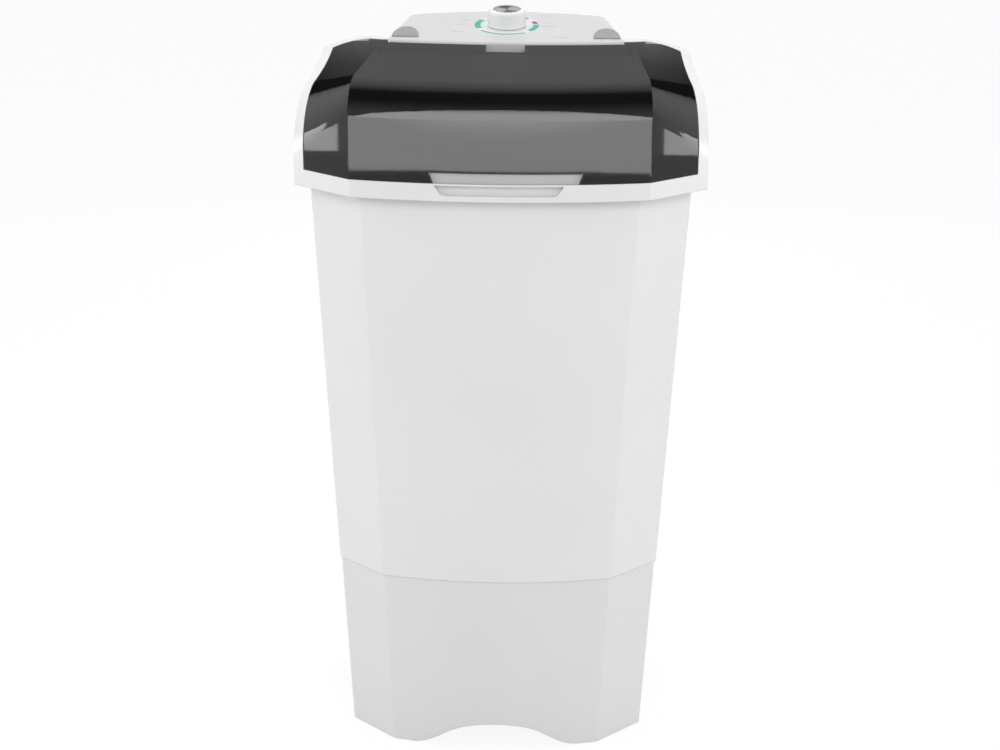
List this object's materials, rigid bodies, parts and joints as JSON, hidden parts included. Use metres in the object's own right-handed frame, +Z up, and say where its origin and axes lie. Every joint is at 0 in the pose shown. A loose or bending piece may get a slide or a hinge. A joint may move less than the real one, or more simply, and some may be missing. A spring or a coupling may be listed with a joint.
{
  "type": "semi-automatic washing machine",
  "caption": "Top-loading washing machine with a tapered eight-sided tub, arched base, hinged smoked lid, raised rear console, turning timer knob and belt-driven agitator.",
  "frame": {"origin": "on the floor, under the middle of the machine's overall box", "axes": "+X to the right of a person who stands in front of it; +Y to the rear; +Z up"},
  "size_m": [0.53, 0.54, 0.9754],
  "materials": {
    "tub_plastic": "satin",
    "base_plastic": "satin",
    "white_plastic": "gloss",
    "smoked_plastic": "gloss",
    "grey_plastic": "satin",
    "printed_film": "gloss",
    "knob_plastic": "gloss",
    "spun_metal": "brushed",
    "black_plastic": "matte",
    "inner_plastic": "satin",
    "pipe_plastic": "satin",
    "feet_rubber": "matte",
    "wire_sleeve": "matte",
    "steel": "brushed",
    "lamination": "satin",
    "bell_metal": "satin",
    "pulley_plastic": "satin",
    "bush_metal": "satin",
    "winding_wire": "satin",
    "capacitor_can": "satin",
    "net_fabric": "matte"
  },
  "bodies": {
    "cabinet": {"wash_tank": "tub_plastic", "tub_bottom": "tub_plastic", "base_skirt": "base_plastic", "top_frame": "white_plastic", "control_panel": "white_plastic", "console_box": "white_plastic", "panel_pad_left": "grey_plastic", "panel_pad_right": "grey_plastic", "wire_duct": "grey_plastic", "dial_film": "printed_film", "timer_body": "black_plastic", "cord_gland": "black_plastic", "capacitor_clip": "black_plastic", "filter_holder": "inner_plastic", "drain_grille": "inner_plastic", "drain_outlet": "pipe_plastic", "drain_spigot": "pipe_plastic", "bearing_housing": "pipe_plastic", "housing_nut": "pipe_plastic", "rubber_feet": "feet_rubber", "shaft_seal": "feet_rubber", "motor_grommets": "feet_rubber", "drive_belt": "feet_rubber", "drain_hose": "feet_rubber", "wiring_harness": "wire_sleeve", "hinge_pins": "steel", "frame_screws": "steel", "base_screws": "steel", "panel_screws": "steel", "timer_screws": "steel", "bracket_screws": "steel", "motor_bolts": "steel", "motor_bracket": "steel", "hose_clamps": "steel", "stator_core": "lamination", "motor_upper_bell": "bell_metal", "motor_lower_bell": "bell_metal", "upper_bush": "bush_metal", "lower_bush": "bush_metal", "stator_windings": "winding_wire", "capacitor": "capacitor_can"},
    "lid": {"lid": "smoked_plastic"},
    "knob": {"timer_knob": "knob_plastic", "knob_insert": "spun_metal", "timer_shaft": "steel"},
    "drive": {"agitator": "inner_plastic", "agitator_cap": "inner_plastic", "agitator_screw": "steel", "drive_shaft": "steel", "drive_pulley": "pulley_plastic", "spacer_tube": "steel", "pulley_nut": "steel"},
    "rotor": {"rotor_core": "lamination", "rotor_shaft": "steel", "motor_pulley": "bell_metal"},
    "filter": {"filter_frame": "inner_plastic", "filter_net": "net_fabric"}
  },
  "joints": [
    {"name": "lid_hinge", "type": "hinge", "parent": "cabinet", "child": "lid", "pos_m": [0, 0.225, 0.912], "axis": [-1, 0, 0], "range_deg": [0, 95]},
    {"name": "knob_turn", "type": "hinge", "parent": "cabinet", "child": "knob", "pos_m": [0, 0.2, 0.94604], "axis": [0, 0.1874, -0.9823], "range_deg": [0, 330]},
    {"name": "drive_turn", "type": "hinge", "parent": "cabinet", "child": "drive", "pos_m": [0, 0.0125, 0.2], "axis": [0, 0, 1], "continuous": true},
    {"name": "motor_turn", "type": "hinge", "parent": "cabinet", "child": "rotor", "pos_m": [0, 0.1435, 0.2], "axis": [0, 0, 1], "continuous": true},
    {"name": "filter_slide", "type": "slide", "parent": "cabinet", "child": "filter", "axis": [0, 0.0529, 0.9986], "range_m": [0, 0.095]}
  ],
  "couplings": [
    {"joint": "motor_turn", "follows": "drive_turn", "ratio": 4}
  ]
}
